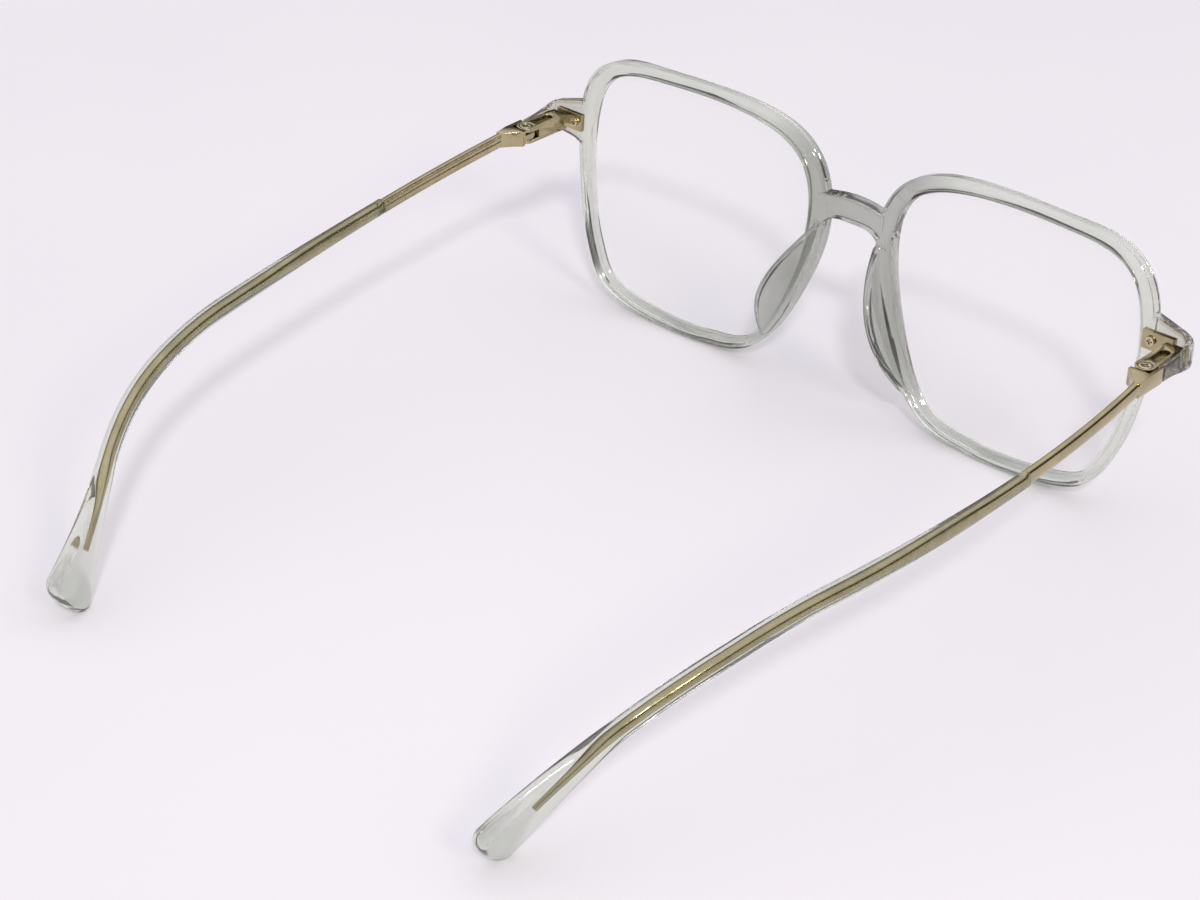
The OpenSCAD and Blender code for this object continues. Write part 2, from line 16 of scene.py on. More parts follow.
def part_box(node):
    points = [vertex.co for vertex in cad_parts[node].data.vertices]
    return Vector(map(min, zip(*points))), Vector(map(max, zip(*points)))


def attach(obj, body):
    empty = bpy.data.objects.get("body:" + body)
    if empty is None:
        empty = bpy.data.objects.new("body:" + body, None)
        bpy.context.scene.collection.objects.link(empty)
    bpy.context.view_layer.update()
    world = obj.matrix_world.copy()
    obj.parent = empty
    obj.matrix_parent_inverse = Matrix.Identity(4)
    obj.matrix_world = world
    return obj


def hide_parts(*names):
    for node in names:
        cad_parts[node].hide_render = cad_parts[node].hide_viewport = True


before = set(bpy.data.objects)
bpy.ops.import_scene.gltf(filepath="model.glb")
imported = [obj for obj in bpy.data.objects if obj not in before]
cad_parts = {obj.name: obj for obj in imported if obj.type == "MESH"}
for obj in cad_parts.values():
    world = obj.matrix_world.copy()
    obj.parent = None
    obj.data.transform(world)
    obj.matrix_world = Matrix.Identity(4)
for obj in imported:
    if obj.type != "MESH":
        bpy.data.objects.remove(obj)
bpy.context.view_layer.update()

MM = 0.001

# %% [markdown]
# The glasses are driven by a few real sizes, the same ones that an optician reads off a frame:
# the width of a lens, the gap between the lenses and the length of a temple. The dome is the
# slight curve that lenses and rims share. FIT is the gap between pieces that touch.

# %% Driving sizes
LENS_W, LENS_H, LENS_GAP, LENS_T = 52.0, 47.0, 18.0, 1.8
FIT = 0.05
DOME_R, LEAN, WRAP = 214.0, math.radians(3.4), math.radians(0.8)
RIM_D, RIM_EDGE, GROOVE_D, GROOVE_W = 3.2, 0.7, 0.5, 1.0
FRONT_W, HINGE_BACK, HINGE_RISE = 140.8, 12.7, 9.4
LUG_WALL, BLOCK_W = 0.7, 3.8
TEMPLE_L, SEAM_L, BAR_L, SLEEVE_AT, WIRE_IN = 148.0, 5.7, 32.5, 75.0, 63.5
LEFT_FOLD = math.radians(2.4)

# %% [markdown]
# Three small rules shape most of what follows: how far a distance has come between two others, the
# same share eased at both ends, and a smooth pass from one value of a list to the next.

# %% Rules for gradual change
def share(s, start, end):
    return max(0.0, min(1.0, (s - start) / (end - start)))


def ease(t):
    return t * t * (3 - 2 * t)


def glide(a, b, c, d, t):
    """From b to c as t goes from 0 to 1, with the slopes that a and d ask for."""
    return b + t / 2 * (c - a + t * (2 * a - 5 * b + 4 * c - d + t * (3 * b - 3 * c + d - a)))

# %% [markdown]
# The lens outline is a closed smooth curve pulled by twelve control points. They are written as
# shares of half the lens box, so the same shape serves any lens size. A uniform cubic spline
# through such points has no kinks, which clear plastic would show at once.

# %% The lens outline
LENS_SHAPE = np.array([[1, -0.26], [1.04, 0.97], [0.34, 0.98], [-0.14, 1.01],
                       [-0.95, 0.92], [-1.04, 0.29], [-0.87, -0.38], [-0.61, -0.95],
                       [-0.21, -0.97], [-0.05, -1.02], [0.72, -0.94], [0.84, -0.65]])
SPANS = len(LENS_SHAPE)
MEASURED_AT = [k / 6 for k in range(6 * SPANS)]
BESIDE = 0.02


def spline(points, q):
    """The point q control points along a closed curve."""
    i, t = int(math.floor(q)), q - math.floor(q)
    a, b, c, d = (points[(i + k - 1) % len(points)] for k in range(4))
    return ((1 - t) ** 3 * a + (3 * t ** 3 - 6 * t ** 2 + 4) * b
            + (-3 * t ** 3 + 3 * t ** 2 + 3 * t + 1) * c + t ** 3 * d) / 6


def between(values, q):
    """A value that passes smoothly through each of a closed list."""
    i, t = int(math.floor(q)), q - math.floor(q)
    return glide(*(values[(i + k - 1) % len(values)] for k in range(4)), t)


drawn = np.array([spline(LENS_SHAPE, q) for q in MEASURED_AT])
SHAPE_MID = (drawn.max(0) + drawn.min(0)) / 2
SHAPE_SCALE = np.array([LENS_W, LENS_H]) / (drawn.max(0) - drawn.min(0))


def ridge(q):
    """A point of the lens edge, from the lens centre."""
    return (spline(LENS_SHAPE, q) - SHAPE_MID) * SHAPE_SCALE


def ridge_out(q):
    """The direction out of the lens there."""
    d = ridge(q + BESIDE) - ridge(q - BESIDE)
    return np.array([d[1], -d[0]]) / np.linalg.norm(d)


print("lens outline drawn with", SPANS, "control points")

# %% [markdown]
# Points of the flat drawing are laid on the dome and leaned with the front. At each control point
# the rim has a width, and a lead by which its outer side stands ahead of its inner side.

# %% From the flat drawing to the face of the glasses
LENS_X = (LENS_GAP + LENS_W) / 2
RIM_WIDTHS = [2.1, 3.2, 2.5, 2.5, 3.2, 3.9, 3.0, 2.1, 2.1, 2.1, 2.1, 2.1]
RIM_AHEADS = [0, 0, 0, 0.2, 0.8, 0.64, 0, 0, 0, 0, 0, 0]
low_front, high_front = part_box("front_frame")


def on_dome(u, y, v, z0):
    """A point of the drawing, u across and v up from the lens centre, y ahead of the dome."""
    d = y - (u * u + v * v) / (2 * DOME_R)
    back = d * math.cos(WRAP) - u * math.sin(WRAP)
    return np.array([LENS_X + u * math.cos(WRAP) + d * math.sin(WRAP),
                     back * math.cos(LEAN) + v * math.sin(LEAN),
                     z0 + v * math.cos(LEAN) - back * math.sin(LEAN)])


def at_ridge(q, out, y, z0):
    """A point beside the ridge that the lens edge follows, out from it and y ahead."""
    p = ridge(q) + ridge_out(q) * out
    return on_dome(p[0], y, p[1], z0)


def rim_foot(q):
    """The lowest point of a rim's section, with the lens centre at height 0."""
    out = between(RIM_WIDTHS, q) - GROOVE_D
    corners = [(out - RIM_EDGE, side * RIM_D / 2) for side in (-1, 1)]
    corners += [(out, side * (RIM_D / 2 - RIM_EDGE)) for side in (-1, 1)]
    return min(at_ridge(q, o, y, 0)[2] for o, y in corners)


def rim_face(q):
    """How far forward the outer end of a rim's flat front reaches."""
    return at_ridge(q, between(RIM_WIDTHS, q) - (GROOVE_D + RIM_EDGE), RIM_D / 2, 0)[1]


LENS_Z = -min(rim_foot(q) for q in MEASURED_AT)
HINGE = np.array([FRONT_W / 2 - LUG_WALL - BLOCK_W / 2, -HINGE_BACK, LENS_Z + HINGE_RISE])
front_most = max(rim_face(q) for q in MEASURED_AT)
FROM_DRAWING = np.array([(low_front[0] + high_front[0]) / 2 / MM,
                         high_front[1] / MM - front_most, 0.0])
print("lens centre height", round(LENS_Z, 2), "hinge", HINGE.round(2))
print("moved by", FROM_DRAWING.round(2))

# %% [markdown]
# Most pieces of a pair of glasses are a section that runs along a line: the rim follows the lens,
# the sleeve follows the wire. So one Geometry Nodes tree makes them all. The line is a row of
# points that carry two directions and the section's size there. The section is a small outline
# whose points say how much of each size they take. The tree joins the two and puts each point
# at its place.

# %% Short hands for objects and node trees
def add_node(tree, kind, inputs=None, **settings):
    """A new node, with its settings and with each input set or linked."""
    node = tree.nodes.new(kind)
    for name, value in settings.items():
        setattr(node, name, value)
    for key, value in (inputs or {}).items():
        if isinstance(value, bpy.types.NodeSocket):
            tree.links.new(value, node.inputs[key])
        else:
            node.inputs[key].default_value = value
    return node


def new_object(name, data):
    """An object in the scene that shows this mesh, light or camera."""
    thing = bpy.data.objects.new(name, data)
    bpy.context.collection.objects.link(thing)
    return thing


def math_node(tree, operation, a, b):
    return add_node(tree, "ShaderNodeMath", {0: a, 1: b}, operation=operation).outputs[0]


def vector_node(tree, operation, a, b, slot=1):
    return add_node(tree, "ShaderNodeVectorMath", {0: a, slot: b}, operation=operation).outputs[0]

# %% [markdown]
# The tree itself. Where a section has a second form, a number on the line says how far the first
# has turned into it: this is how a nose pad grows out of the rim.

# %% The tree that runs a section along a line
def named(tree, name, kind="FLOAT"):
    """Reads what the line or the section carries under this name."""
    reader = add_node(tree, "GeometryNodeInputNamedAttribute", {"Name": name}, data_type=kind)
    return reader.outputs[0]


def grown_value(tree, name):
    """The plain value of a section point, or its value on the wing where the wing has grown."""
    plain = named(tree, name)
    change = math_node(tree, "SUBTRACT", named(tree, "wing_" + name), plain)
    return math_node(tree, "ADD", plain, math_node(tree, "MULTIPLY", named(tree, "grown"), change))


def make_section_tree():
    tree = bpy.data.node_groups.new("section_along_a_line", "GeometryNodeTree")
    face = tree.interface
    face.new_socket("Line", in_out="INPUT", socket_type="NodeSocketGeometry")
    face.new_socket("Section", in_out="INPUT", socket_type="NodeSocketObject")
    face.new_socket("Wing splay", in_out="INPUT", socket_type="NodeSocketFloat")
    face.new_socket("Finish", in_out="INPUT", socket_type="NodeSocketMaterial")
    face.new_socket("Piece", in_out="OUTPUT", socket_type="NodeSocketGeometry")
    given = add_node(tree, "NodeGroupInput").outputs
    line = add_node(tree, "GeometryNodeMeshToCurve", {"Mesh": given["Line"]}).outputs[0]
    here = add_node(tree, "GeometryNodeInputPosition").outputs[0]
    line = add_node(tree, "GeometryNodeStoreNamedAttribute",
                    {"Geometry": line, "Name": "seat", "Value": here},
                    data_type="FLOAT_VECTOR", domain="POINT").outputs[0]
    outline = add_node(tree, "GeometryNodeObjectInfo", {"Object": given["Section"]})
    outline = add_node(tree, "GeometryNodeMeshToCurve",
                       {"Mesh": outline.outputs["Geometry"]}).outputs[0]
    skin = add_node(tree, "GeometryNodeCurveToMesh",
                    {"Curve": line, "Profile Curve": outline, "Fill Caps": True}).outputs[0]
    reach = math_node(tree, "MULTIPLY", named(tree, "wing"), named(tree, "reach"))
    share_across = grown_value(tree, "across")
    across = math_node(tree, "MULTIPLY", share_across, named(tree, "width"))
    across = math_node(tree, "ADD", across, grown_value(tree, "inset_across"))
    splay = math_node(tree, "MULTIPLY", reach, given["Wing splay"])
    across = math_node(tree, "SUBTRACT", across, splay)
    deep = math_node(tree, "MULTIPLY", grown_value(tree, "deep"), named(tree, "depth"))
    deep = math_node(tree, "ADD", deep, grown_value(tree, "inset_deep"))
    ahead = math_node(tree, "MULTIPLY", share_across, named(tree, "ahead"))
    deep = math_node(tree, "ADD", deep, ahead)
    deep = math_node(tree, "SUBTRACT", deep, reach)
    place = vector_node(tree, "SCALE", named(tree, "outward", "FLOAT_VECTOR"), across, "Scale")
    push = vector_node(tree, "SCALE", named(tree, "forward", "FLOAT_VECTOR"), deep, "Scale")
    place = vector_node(tree, "ADD", place, push)
    place = vector_node(tree, "ADD", place, named(tree, "seat", "FLOAT_VECTOR"))
    skin = add_node(tree, "GeometryNodeSetPosition",
                    {"Geometry": skin, "Position": place}).outputs[0]
    skin = add_node(tree, "GeometryNodeSetShadeSmooth", {"Geometry": skin}).outputs[0]
    skin = add_node(tree, "GeometryNodeRealizeInstances", {"Geometry": skin}).outputs[0]
    skin = add_node(tree, "GeometryNodeSetMaterial",
                    {"Geometry": skin, "Material": given["Finish"]}).outputs[0]
    tree.links.new(skin, add_node(tree, "NodeGroupOutput").inputs[0])
    return tree


SECTION_TREE = make_section_tree()
print("section tree has", len(SECTION_TREE.nodes), "nodes")

# %% [markdown]
# A line and a section are both rows of points that carry numbers for the tree to read.

# %% Lines and sections
SIZES = ("width", "depth", "ahead", "reach")
PLACES = ("across", "inset_across", "deep", "inset_deep")
CARRIED = ("seat", "outward", "forward", *SIZES, "grown", "wing",
           *PLACES, *("wing_" + key for key in PLACES))
DRAWN_INSET = 0.2


def row_of_points(name, points, closed, numbers, vectors=None):
    """A mesh of points joined in a row, with what each point carries."""
    mesh = bpy.data.meshes.new(name)
    count = len(points)
    edges = [(k, (k + 1) % count) for k in range(count if closed else count - 1)]
    mesh.from_pydata([tuple(p) for p in points], edges, [])
    kinds = (("FLOAT", "value", numbers), ("FLOAT_VECTOR", "vector", vectors or {}))
    for kind, slot, carried in kinds:
        for key, values in carried.items():
            values = np.ravel(values).astype(np.float32)
            mesh.attributes.new(key, kind, "POINT").data.foreach_set(slot, values)
    return new_object(name, mesh)


def section_outline(name, rows):
    """A closed section. A row is across, inset across, deep, inset deep and wing, then the first
    four again where the wing has grown, if they change."""
    names = (*PLACES, "wing", *("wing_" + key for key in PLACES))
    rows = [row if len(row) == len(names) else (*row, *row[:len(PLACES)]) for row in rows]
    rows = np.array(rows, dtype=float)
    flat = [(r[0] + r[1] * DRAWN_INSET, r[2] + r[3] * DRAWN_INSET, 0) for r in rows]
    numbers = {key: rows[:, k] * (MM if "inset" in key else 1) for k, key in enumerate(names)}
    return row_of_points(name, flat, True, numbers)

# %% [markdown]
# The tree is put on the line as a modifier, its inputs are set, and what it makes is kept as a
# plain mesh.

# %% Running a section along a line
def baked(thing):
    """The mesh that an object's modifiers make of it."""
    bpy.context.view_layer.update()
    seen = thing.evaluated_get(bpy.context.evaluated_depsgraph_get())
    return bpy.data.meshes.new_from_object(seen)


def run_section(name, outline, stations, closed, finish, splay=0.0):
    """Bakes the section tree on a line. A station is seat, outward, forward, width, depth, ahead,
    reach and, where it has a wing, how far that has grown."""
    seats = np.array([s[0] for s in stations]) * MM
    vectors = {key: np.array([s[k] for s in stations])
               for k, key in enumerate(("outward", "forward"), start=1)}
    numbers = {key: np.array([s[k] for s in stations]) * MM for k, key in enumerate(SIZES, start=3)}
    numbers["grown"] = np.array([s[7] if len(s) > 7 else 0.0 for s in stations])
    line = row_of_points(name + "_line", seats, closed, numbers, vectors)
    modifier = line.modifiers.new("section", "NODES")
    modifier.node_group = SECTION_TREE
    sockets = {s.name: s.identifier for s in SECTION_TREE.interface.items_tree
               if s.in_out == "INPUT"}
    modifier[sockets["Section"]] = outline
    modifier[sockets["Wing splay"]] = splay
    modifier[sockets["Finish"]] = finish
    mesh = baked(line)
    mesh.name = name
    for key in [a.name for a in mesh.attributes if a.name in CARRIED]:
        mesh.attributes.remove(mesh.attributes[key])
    bpy.data.objects.remove(line, do_unlink=True)
    return mesh

# %% [markdown]
# Meshes have to be closed, with no doubled points and with all faces outwards, before they are
# joined or shown: clear plastic is rendered wrong otherwise.

# %% Cleaning, joining and moving meshes
DOUBLES = 1e-7


def tidy_mesh(mesh, merge=0.0):
    """Merges doubles and makes all faces point outwards."""
    work = bmesh.new()
    work.from_mesh(mesh)
    if merge:
        bmesh.ops.remove_doubles(work, verts=work.verts, dist=merge)
    bmesh.ops.recalc_face_normals(work, faces=work.faces)
    if work.calc_volume(signed=True) < 0:
        bmesh.ops.reverse_faces(work, faces=work.faces)
    work.to_mesh(mesh)
    work.free()
    return mesh


def joined(name, meshes):
    """One mesh from several."""
    work = bmesh.new()
    for mesh in meshes:
        work.from_mesh(mesh)
    whole = bpy.data.meshes.new(name)
    work.to_mesh(whole)
    work.free()
    return whole


def moved(mesh, matrix):
    copy = mesh.copy()
    copy.transform(matrix)
    return tidy_mesh(copy)

# %% [markdown]
# Meshes are drawn for the right side of the face. A matrix moves each to the CAD model's place,
# and another mirrors it to the left, where the temple is also let in a little, as photographed.
# Then a mesh becomes a piece, which rides on a moving body and stands for its CAD node.

# %% Sides and pieces
PLACE = Matrix.Translation(Vector(FROM_DRAWING * MM))
MIRROR = Matrix.Scale(-1, 4, Vector((1, 0, 0)))
hinge_at = Vector(HINGE * MM)
FOLD_IN = (Matrix.Translation(hinge_at) @ Matrix.Rotation(-LEFT_FOLD, 4, "Z")
           @ Matrix.Translation(-hinge_at))
TO_SIDE = {("front", "right"): PLACE, ("front", "left"): PLACE @ MIRROR,
           ("temple", "right"): PLACE, ("temple", "left"): PLACE @ MIRROR @ FOLD_IN}


def make_piece(name, mesh, body, finish, slot, *nodes, crease=None):
    """Shows a mesh as a piece that rides on a body and stands for its CAD nodes."""
    mesh.materials.clear()
    mesh.materials.append(finish)
    for face in mesh.polygons:
        face.use_smooth = True
    if crease:
        mesh.set_sharp_from_angle(angle=math.radians(crease))
    thing = new_object(name, mesh)
    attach(thing, body)
    if nodes:
        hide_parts(*nodes)
    print(name, len(mesh.polygons), "faces")
    return thing

# %% [markdown]
# No real surface has one colour and one gloss. Every finish starts from noise in the object's own
# space, which is turned into a small change of colour, of gloss or of height.

# %% Short hands for finishes
def noise_on_object(tree, scale, detail=2.0, stretch=(1, 1, 1)):
    where = add_node(tree, "ShaderNodeTexCoord").outputs["Object"]
    where = add_node(tree, "ShaderNodeMapping", {"Vector": where, "Scale": stretch}).outputs[0]
    noise = add_node(tree, "ShaderNodeTexNoise",
                     {"Vector": where, "Scale": scale, "Detail": detail})
    return noise.outputs["Fac"]


def ramp(tree, fac, stops):
    node = add_node(tree, "ShaderNodeValToRGB", {"Fac": fac})
    for end, (place, colour) in zip(node.color_ramp.elements, (stops[0], stops[-1])):
        end.position, end.color = place, (*colour, 1)
    for place, colour in stops[1:-1]:
        node.color_ramp.elements.new(place).color = (*colour, 1)
    return node.outputs["Color"]


def level(tree, fac, low, high):
    spread = add_node(tree, "ShaderNodeMapRange", {"Value": fac, "To Min": low, "To Max": high})
    return spread.outputs["Result"]


def bumps(tree, strength, distance, height):
    return add_node(tree, "ShaderNodeBump",
                    {"Strength": strength, "Distance": distance, "Height": height}).outputs[0]


def finish_of(name, looks):
    """A material. Looks gives, from its node tree, each shader input a number or a socket."""
    finish = bpy.data.materials.new(name)
    finish.use_nodes = True
    tree = finish.node_tree
    shader = tree.nodes["Principled BSDF"]
    for key, value in looks(tree).items():
        if isinstance(value, bpy.types.NodeSocket):
            tree.links.new(value, shader.inputs[key])
        else:
            shader.inputs[key].default_value = value
    return finish

# %% [markdown]
# The front and the tips are clear injection-moulded plastic. Real clear plastic bends light, has a
# faint grey-green body colour, and is never quite flat: the mould leaves a slow ripple and wear
# leaves fine dull spots. The ripple goes to the bump and the wear to the roughness. Where the
# surface is seen edge-on the colour is darkened: painted shade for the dark edge lines, which in
# part also stands for the longer path through the plastic there. The front is darker still near the
# nose, painted shade on the pads, and its colour is also a little deeper at the outer ends by the
# lugs.

# %% Clear plastic
HALF_W = 0.0708
# Painted shade: the colour darkens where the surface is seen edge-on, for the dark edge lines and
# in part for the longer path through the plastic.
GRAZE_SHADE_TINT = [(0.0, (1, 1, 1)), (0.5, (0.95, 0.95, 0.94)), (0.85, (0.6, 0.59, 0.53)),
              (1.0, (0.33, 0.32, 0.25))]
# Painted shade near the nose pads; the colour is also a little deeper at the outer ends by the
# lugs.
NOSE_SHADE_LUG_TINT = [(0.011, (0.6, 0.6, 0.59)), (0.021, (1, 1, 1)), (0.0605, (1, 1, 1)),
              (0.066, (0.84, 0.80, 0.76))]


def tint_by_side(tree, body, tints):
    """Deepens the colour by the distance, in metres, from the middle of the face."""
    where = add_node(tree, "ShaderNodeTexCoord").outputs["Object"]
    side = add_node(tree, "ShaderNodeSeparateXYZ", {0: where}).outputs["X"]
    side = add_node(tree, "ShaderNodeMath", {0: side}, operation="ABSOLUTE").outputs[0]
    side = math_node(tree, "DIVIDE", side, HALF_W)
    tints = ramp(tree, side, [(x / HALF_W, tint) for x, tint in tints])
    return vector_node(tree, "MULTIPLY", body, tints)


def clear_plastic(name, dark, light, alpha, thick=None):
    def looks(tree):
        body = ramp(tree, noise_on_object(tree, 60), [(0.35, dark), (0.7, light)])
        # Painted shade along the edges that are seen edge-on.
        graze = add_node(tree, "ShaderNodeLayerWeight", {"Blend": 0.35}).outputs["Facing"]
        body = vector_node(tree, "MULTIPLY", body, ramp(tree, graze, GRAZE_SHADE_TINT))
        # Painted shade near the nose pads, and a deeper tint at the outer ends by the lugs.
        if thick:
            body = tint_by_side(tree, body, thick)
        return {"Base Color": body,
                "Roughness": level(tree, noise_on_object(tree, 900, 4), 0.0, 0.05),
                "Normal": bumps(tree, 0.05, 0.00002, noise_on_object(tree, 90, 1)),
                "Transmission Weight": 1.0, "IOR": 1.49, "Alpha": alpha}
    return finish_of(name, looks)


CLEAR = clear_plastic("clear_plastic", (0.76, 0.80, 0.72), (0.83, 0.86, 0.79), 0.97, NOSE_SHADE_LUG_TINT)
TIP_CLEAR = clear_plastic("tip_plastic", (0.78, 0.82, 0.74), (0.84, 0.87, 0.80), 0.96)

# %% [markdown]
# The lenses are so clear that the photograph hardly shows them. A thin film of reflection is all
# that is left, so the finish is nearly see-through, with a few faint smears in its roughness.

# %% Lens resin
def lens_resin(tree):
    tones = [(0.3, (0.95, 0.96, 0.97)), (0.7, (1, 1, 1))]
    return {"Base Color": ramp(tree, noise_on_object(tree, 30), tones),
            "Roughness": level(tree, noise_on_object(tree, 120, 3), 0.02, 0.12),
            "IOR": 1.5, "Alpha": 0.07}


LENS = finish_of("lens_resin", lens_resin)

# %% [markdown]
# The metal is a satin champagne plating. Fine brush marks run along each piece, so one noise is
# stretched along the temples for the bump, and slower ones shift colour and gloss a little. An
# occlusion mask darkens grooves, slots and joints to brown: painted shade.

# %% Champagne metal, screw metal and washer plastic
BRUSHED_ALONG = (14, 1, 14)
# Painted shade: brown darkening in grooves, slots and joints, driven by occlusion.
PAINTED_RECESS_SHADE = [(0.35, (0.16, 0.13, 0.10)), (0.85, (1, 1, 1))]


def plated_metal(name, dark, light, rough, brush=BRUSHED_ALONG):
    def looks(tree):
        tone = ramp(tree, noise_on_object(tree, 260, 3), [(0.3, dark), (0.65, light)])
        # Painted shade: the occlusion mask darkens the colour in grooves, slots and joints.
        recess_shade = add_node(tree, "ShaderNodeAmbientOcclusion", {"Distance": 0.0011},
                          samples=8, only_local=True).outputs["AO"]
        gloss = noise_on_object(tree, 500, 4)
        return {"Base Color": vector_node(tree, "MULTIPLY", tone, ramp(tree, recess_shade, PAINTED_RECESS_SHADE)),
                "Roughness": level(tree, gloss, rough * 0.7, rough * 1.3),
                "Normal": bumps(tree, 0.35, 0.00002, noise_on_object(tree, 700, 3, brush)),
                "Metallic": 1.0}
    return finish_of(name, looks)


CHAMPAGNE = plated_metal("champagne_metal", (0.39, 0.33, 0.19), (0.49, 0.42, 0.26), 0.15)
SCREW = plated_metal("screw_metal", (0.50, 0.42, 0.26), (0.70, 0.62, 0.44), 0.2, brush=(1, 1, 1))


def washer_plastic(tree):
    tones = [(0.3, (0.10, 0.095, 0.085)), (0.7, (0.17, 0.16, 0.15))]
    return {"Base Color": ramp(tree, noise_on_object(tree, 800), tones),
            "Roughness": level(tree, noise_on_object(tree, 900, 3), 0.4, 0.6)}


WASHER = finish_of("washer_plastic", washer_plastic)

# %% [markdown]
# A section's corners take the full width and depth of the line, and their arcs or flat cuts are
# fixed insets, so they stay the same where the rim grows wider. The rim's edges are cut flat: in
# clear plastic each cut shows as a light or dark line along the rim.

# %% Corners of a section
EDGE_CUT, EDGE_SOFT = 0.6, 0.2
EDGE_R = EDGE_CUT + EDGE_SOFT * math.tan(math.radians(22.5))


def arc(across, deep, radius, start, end, steps=9):
    """Rows of one corner. The corner is at (across, deep) and its arc is tucked inside it."""
    side, top = math.copysign(1, across), math.copysign(1, deep)
    rows = []
    for k in range(steps):
        a = math.radians(start + (end - start) * k / (steps - 1))
        rows.append((across, radius * (math.cos(a) - side), deep, radius * (math.sin(a) - top), 0))
    return rows


def heading(a):
    return np.array([math.cos(math.radians(a)), math.sin(math.radians(a))])


def cut_corner(across, deep, start, end, steps=4):
    """Rows of a corner with a flat cut across it, whose two edges are a little rounded."""
    middle, rows = (start + end) / 2, []
    for apex, a, b in ((heading(end), start, middle), (heading(start), middle, end)):
        core = -EDGE_CUT * apex
        core = core - EDGE_SOFT * (heading(a) + heading(b)) / (1 + heading(a) @ heading(b))
        for k in range(steps):
            p = core + EDGE_SOFT * heading(a + (b - a) * k / (steps - 1))
            rows.append((across, p[0], deep, p[1], 0))
    return rows

# %% [markdown]
# The inner side of the rim has the V groove that the lens edge sits in. A nose pad is a wing at the
# back of the rim, made of the points of its flat back. So each of them carries both places, and a
# share from 0 to 1 that says how far out on the wing it lies.

# %% Sections of the rim and its wing
PAD_EDGE_R, PAD_ROOT = 0.65, 1.5


def wing_rows():
    """The wing of a nose pad: its outer face, its round free edge and its inner face."""
    rows = [(1, 0, -0.5, EDGE_R + (PAD_EDGE_R - EDGE_R) * w, w)
            for w in (0.08, 0.2, 0.35, 0.55, 0.8, 1.0)]
    for k in range(1, 8):
        a = math.pi * k / 8
        rows.append((1, PAD_EDGE_R * (math.cos(a) - 1), -0.5, PAD_EDGE_R * (1 - math.sin(a)), 1))
    for w in (1.0, 0.85, 0.65, 0.45, 0.25, 0.1):
        rows.append((1, -PAD_ROOT - (2 * PAD_EDGE_R - PAD_ROOT) * w, -0.5, PAD_EDGE_R * w, w))
    return rows


def back_rows():
    """The back of the rim: plain, and the same points on the wing where that has grown."""
    wing = wing_rows()
    plain = cut_corner(1, -0.5, 0, -90)[1:]
    flat = len(wing) - len(plain)
    for k in range(1, flat + 1):
        t = k / (flat + 1)
        plain.append((1 - t, EDGE_R * (2 * t - 1), -0.5, 0, 0))
    return [(*p[:4], w[4], *w[:4]) for p, w in zip(plain, wing)]


def rim_rows():
    """The whole rim, from the floor of its groove all the way round."""
    rows = [(0, GROOVE_D + FIT, 0, 0, 0), (0, 0, 0, GROOVE_W / 2, 0)]
    rows += cut_corner(0, 0.5, 180, 90) + cut_corner(1, 0.5, 90, 0)
    rows += [(1, 0, -0.5, EDGE_R, 0)] + back_rows() + cut_corner(0, -0.5, 270, 180)
    return rows + [(0, 0, 0, -GROOVE_W / 2, 0)]

# %% [markdown]
# The bridge is a slab with rounded edges. The lugs are nearly square in section, and the wire and
# the sleeve are ovals.

# %% Sections of the other pieces
def slab_rows(radius):
    return (arc(-0.5, 0.5, radius, 180, 90) + arc(0.5, 0.5, radius, 90, 0)
            + arc(0.5, -0.5, radius, 0, -90) + arc(-0.5, -0.5, radius, 270, 180))


def oval_rows(square, count=48):
    """An oval. It is an ellipse at square 1 and nears a rectangle towards 0."""
    rows = []
    for k in range(count):
        a = 2 * math.pi * k / count
        across, deep = (math.copysign(abs(v) ** square, v) / 2 for v in (math.cos(a), math.sin(a)))
        rows.append((across, 0, deep, 0, 0))
    return rows


RIM_SECTION = section_outline("rim_section", rim_rows())
BRIDGE_SECTION = section_outline("bridge_section", slab_rows(EDGE_R))
LUG_SECTION = section_outline("lug_section", oval_rows(0.5))
OVAL_SECTION = section_outline("oval_section", oval_rows(0.85))
print("rim section has", len(rim_rows()), "points")

# %% [markdown]
# The rim is the main piece, and its shape follows a rule: a section that runs along the lens
# outline and grows wider at the corners and beside the nose. Each station takes its place and its
# two directions from the dome. The pad is a wing that the section itself grows at its back: each
# point there has a plain place and a place on the wing, and glides from one to the other.

# %% Rims and nose pads
PAD_FROM, PAD_TO, PAD_REACH, PAD_SPLAY = 4.93, 6.7, 8.6, 0.33


def pad_reach(q):
    """How far the wing reaches back at this place of the rim."""
    return PAD_REACH * math.sin(math.pi * share(q, PAD_FROM, PAD_TO) ** 0.85)


def rim_stations(per_span=36):
    made = []
    for k in range(SPANS * per_span):
        q = k / per_span
        seat, outer, front = (at_ridge(q, *step, LENS_Z) for step in ((0, 0), (1, 0), (0, 1)))
        outward, reach = outer - seat, pad_reach(q)
        made.append((seat - outward * GROOVE_D, outward, front - seat, between(RIM_WIDTHS, q),
                     RIM_D, between(RIM_AHEADS, q), reach, ease(share(reach, 0, 2 * PAD_EDGE_R))))
    return made


rim_mesh = run_section("rim", RIM_SECTION, rim_stations(), True, CLEAR, PAD_SPLAY)
print("rim with its pad", len(rim_mesh.polygons), "faces")

# %% [markdown]
# The bridge is an arch whose ends are sunk into the rims. The ends flare, because a mould has no
# sharp inner corners: they would be weak, and the photograph shows soft ones.

